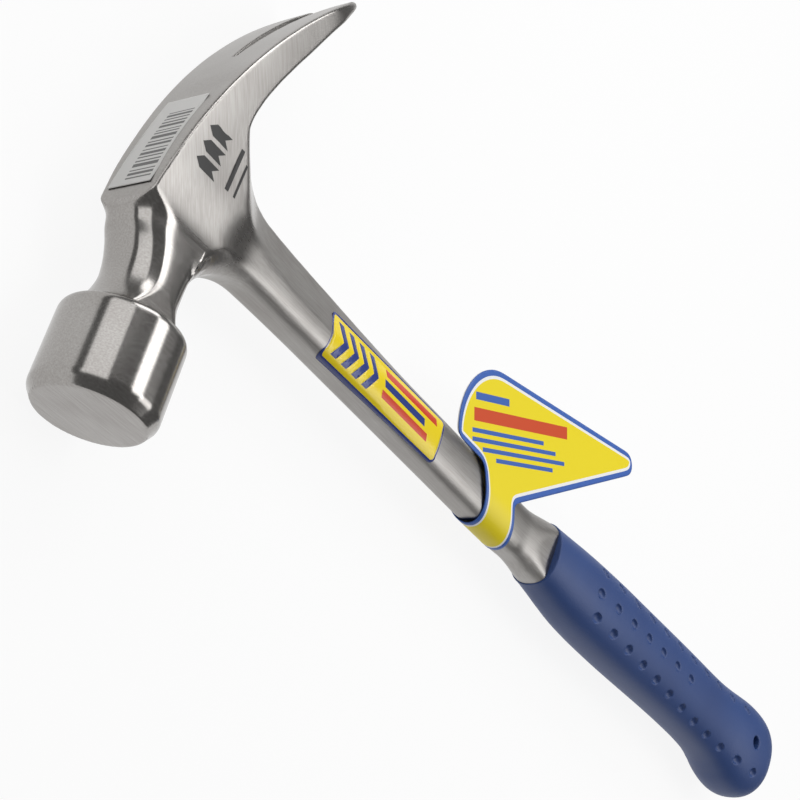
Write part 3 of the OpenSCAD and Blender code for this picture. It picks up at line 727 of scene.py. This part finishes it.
# %% Cheek mark
INK_LIFT = 0.03
marks = [chevron(-5.5, 2.0 + 4.8 * i, 5.6 + 4.8 * i, 6.0, -2.0) for i in range(3)]
marks += [slanted(4.2, 3.0, 5.6, 15.5, 0), slanted(7.6, 3.0, 8.4, 13.0, 0)]
for i, outline in enumerate(marks):
    mark = printed_sheet(f"cheek_mark_{i}", [(outline, enamel_black)], lifted(steel_field, INK_LIFT), 0.8, 0)
    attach(mark, "hammer")
print("cheek marks:", len(marks))

# %% [markdown]
# ## Card tag
# The tag is one die-cut card. Its leaf lies beside the shank, and a strip runs on from the leaf, leans a
# little, and goes once round the shank. A leaf and a loop made apart would show a seam where they meet,
# so the card is drawn flat, as the printer has it, and bent afterwards. Here is the flat outline:
# the leaf's round end and small tip, then the strip.

# %% Tag outline
CARD = 0.35
STRIP = (146.6, 165.0)
STRIP_LEAN = 0.6
STRIP_LENGTH = 55.0
LEAF_TOP = 7.7
LEAF_CUT = 5.0
LEAF = (145.9, 15.0, math.radians(24.6), 21.7, 4.2, 91.1)  # round end, turn, both radii, their distance


def leaf_edge():
    """Round end and small tip with the straight lines that touch both, open where the strip begins."""
    x, y, turn, root, tip, apart = LEAF
    touch = math.acos((root - tip) / apart)
    arcs = [(x + apart * math.cos(turn), y + apart * math.sin(turn), tip, turn - touch, turn + touch, 16),
            (x, y, root, turn + touch, math.pi - math.asin((LEAF_CUT - y) / root), 60)]
    return [(cx + r * math.cos(a), cy + r * math.sin(a))
            for cx, cy, r, start, end, steps in arcs for a in np.linspace(start, end, steps)]


def softened(points, step=0.8, rounds=14):
    """The closed outline in even steps, with its corners rounded."""
    closed = np.array(points + points[:1])
    far = np.concatenate([[0], np.cumsum(np.linalg.norm(np.diff(closed, axis=0), axis=1))])
    even = np.linspace(0, far[-1], int(far[-1] / step), endpoint=False)
    line = np.column_stack([np.interp(even, far, closed[:, 0]), np.interp(even, far, closed[:, 1])])
    for _ in range(rounds):
        line = (np.roll(line, 1, axis=0) + 2 * line + np.roll(line, -1, axis=0)) / 4
    return line


def drawn_in(line, inset):
    """An outline moved inwards; it runs counter-clockwise."""
    along = np.roll(line, -1, axis=0) - np.roll(line, 1, axis=0)
    along /= np.linalg.norm(along, axis=1)[:, None]
    return line + inset * np.column_stack([-along[:, 1], along[:, 0]])


flat_leaf = [(x + STRIP_LEAN * y, y) for x, y in leaf_edge()]
card_edge = softened(flat_leaf + [(STRIP[0], LEAF_CUT), (STRIP[0], -STRIP_LENGTH),
                                  (STRIP[1], -STRIP_LENGTH), (STRIP[1], 1.4)])
print("card outline:", len(card_edge), "points")

# %% [markdown]
# ## Tag, bent
# The leaf stays flat. Below the shank's middle line the card follows an oval that clears the shank, so
# it is bent by arc length, as card bends without stretching. A second leaf behind the first is the
# other half of the fold. The print is a border, a red bar and a few plain lines.

# %% Tag card
LOOP_OVAL = (10.9, 7.7, 2.15)
turns = np.radians(np.linspace(90, 440, 1401))
deep, tall, power = LOOP_OVAL
oval = np.column_stack([deep * np.sign(np.cos(turns)) * np.abs(np.cos(turns)) ** (2 / power),
                        tall * np.sign(np.sin(turns)) * np.abs(np.sin(turns)) ** (2 / power)])
oval_far = np.concatenate([[0], np.cumsum(np.linalg.norm(np.diff(oval, axis=0), axis=1))])


def on_card(flat):
    y, z = flat[:, 1].copy(), np.full(len(flat), LEAF_TOP)
    low = y < 0
    y[low], z[low] = [np.interp(-flat[low, 1], oval_far, oval[:, k]) for k in (0, 1)]
    return np.column_stack([flat[:, 0] - STRIP_LEAN * y, y, z])


prints = [(card_edge, card_blue), (drawn_in(card_edge, 1.5), card_white),
          (drawn_in(card_edge, 2.3), card_yellow)]
ahead = np.array([math.cos(LEAF[2]), math.sin(LEAF[2])])
aside = np.array([-ahead[1], ahead[0]])
for start, end, at, half, ink in [(-13, 46, 6.4, 2.1, card_red), (-14, 30, 1.4, 0.7, card_blue),
                                  (-14, 38, -1.4, 0.7, card_blue), (-8, 44, -4.2, 0.7, card_blue),
                                  (0, 36, -7.0, 0.7, card_blue), (-12, 8, 12.2, 1.2, card_blue)]:
    corners = slanted(start, at - half, end, at + half, 0)
    bar = [np.array(LEAF[:2]) + a * ahead + b * aside for a, b in corners]
    prints.append(([(x + STRIP_LEAN * y, y) for x, y in bar], ink))
card = printed_sheet("tag_front_card", prints, on_card, 0.8, CARD)
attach(card, "hang_tag")
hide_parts("hang_tag")
print("front card:", len(card.data.polygons), "faces; the oval is", round(float(oval_far[-1]), 1), "mm")

# %% [markdown]
# ## Tag, back half
# The back of the fold has the same leaf and no strip of its own: the strip comes up behind it and is
# glued there.

# %% Tag back
def behind(flat):
    return np.column_stack([flat, np.full(len(flat), LEAF_TOP - CARD)])


back = printed_sheet("tag_back_card", [(softened(leaf_edge()), card_white)], behind, 3.0, CARD)
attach(back, "hang_tag")
print("back card:", len(back.data.polygons), "faces")

# %% [markdown]
# ## Studio
# The hammer lies on a white sweep under soft boxes. The floor is white to the camera and to the metal
# that mirrors it, and a tenth of it stays an ordinary lit surface, so it keeps the hammer's shadow.

# %% Floor and world
FLOOR_HALF = 6
SHOWN_WHITE = 0.9
ROOM_LIGHT = 0.16
floor_mesh = bpy.data.meshes.new("floor")
floor_corners = slanted(-FLOOR_HALF, -FLOOR_HALF, FLOOR_HALF, FLOOR_HALF, 0)
floor_mesh.from_pydata([(x, y, 0) for x, y in floor_corners], [], [(0, 1, 2, 3)])
floor = bpy.data.objects.new("floor", floor_mesh)
bpy.context.scene.collection.objects.link(floor)
paper, tree, shader = new_material("paper_sweep_white")
shader.inputs["Base Color"].default_value = linear("#e8e8e8")
shader.inputs["Roughness"].default_value = 0.9
path = add(tree, "ShaderNodeLightPath")
seen = add(tree, "ShaderNodeMath", {0: path.outputs["Is Camera Ray"], 1: path.outputs["Is Glossy Ray"]},
           operation="MAXIMUM")
seen = add(tree, "ShaderNodeMath", {0: seen.outputs[0], 1: path.outputs["Is Transmission Ray"]},
           operation="MAXIMUM")
share = add(tree, "ShaderNodeMath", {0: seen.outputs[0], 1: SHOWN_WHITE}, operation="MULTIPLY")
glow = add(tree, "ShaderNodeEmission", {"Color": (1, 1, 1, 1), "Strength": 1.0})
blend = add(tree, "ShaderNodeMixShader", {0: share.outputs[0], 1: shader.outputs[0], 2: glow.outputs[0]})
tree.links.new(blend.outputs[0], tree.nodes["Material Output"].inputs["Surface"])
floor_mesh.materials.append(paper)
world = bpy.data.worlds.new("studio")
bpy.context.scene.world = world
world.use_nodes = True
world.node_tree.nodes["Background"].inputs["Color"].default_value = (1, 1, 1, 1)
world.node_tree.nodes["Background"].inputs["Strength"].default_value = ROOM_LIGHT
print("floor at z 0")

# %% [markdown]
# ## Lights
# Five soft boxes: one overhead, which draws the white line along the bell; a broad one beside the head,
# for the bell's left band; a broad one behind the butt, which the shank mirrors; a weak one for the
# shank's back bevel; and one beyond the claws, which lights vinyl and card from their side. Each is
# given as a brightness, with white paper as 1, and its power follows from its area.

# %% Soft boxes
def soft_box(name, place, target, size, brightness):
    lamp = bpy.data.lights.new(name, "AREA")
    lamp.shape, lamp.size, lamp.size_y = "RECTANGLE", size[0], size[1]
    lamp.energy = brightness * math.pi * size[0] * size[1]
    box = bpy.data.objects.new(name, lamp)
    box.location = place
    box.rotation_euler = (Vector(target) - Vector(place)).to_track_quat("-Z", "Y").to_euler()
    bpy.context.scene.collection.objects.link(box)


soft_box("overhead_box", (0.08, 0.24, 0.68), (-0.15, 0.24, 0.02), (0.54, 0.29), 3.8)
soft_box("side_box", (-0.80, 0.28, 0.46), (-0.19, 0.28, 0.02), (0.9, 0.60), 1.4)
soft_box("back_box", (0.54, -0.06, 0.80), (-0.1, -0.06, 0.02), (0.68, 0.56), 2.4)
soft_box("rim_box", (0.63, 0.90, 0.20), (-0.1, 0.0, 0.03), (0.42, 0.36), 0.75)
soft_box("key_box", (-0.25, 0.95, 0.75), (-0.1, 0.0, 0.02), (0.8, 0.45), 4.2)

# %% [markdown]
# ## Camera
# The camera stands over the face end, looking down the handle, where the bell comes forward and the
# grip runs away. Its place and turn were fitted to the hammer's own outline.

# %% Camera
CAMERA_PLACE = (-0.3913, -0.2169, 0.2731)
RIGHT = Vector((0.5143, 0.2496, 0.8205))
DOWN = Vector((0.5230, -0.8495, -0.0694))
AHEAD = Vector((0.6797, 0.4648, -0.5675))
SENSOR = 36.0
FOCAL_LENGTH = 69.15
lens = bpy.data.cameras.new("camera")
lens.sensor_width, lens.lens = SENSOR, FOCAL_LENGTH
camera = bpy.data.objects.new("camera", lens)
bpy.context.scene.collection.objects.link(camera)
turn = Matrix((RIGHT, -DOWN, -AHEAD)).transposed()
camera.matrix_world = Matrix.Translation(CAMERA_PLACE) @ turn.to_4x4()
bpy.context.scene.camera = camera
bpy.context.scene.view_settings.view_transform = "Standard"
print("camera at", [round(v, 3) for v in camera.location])
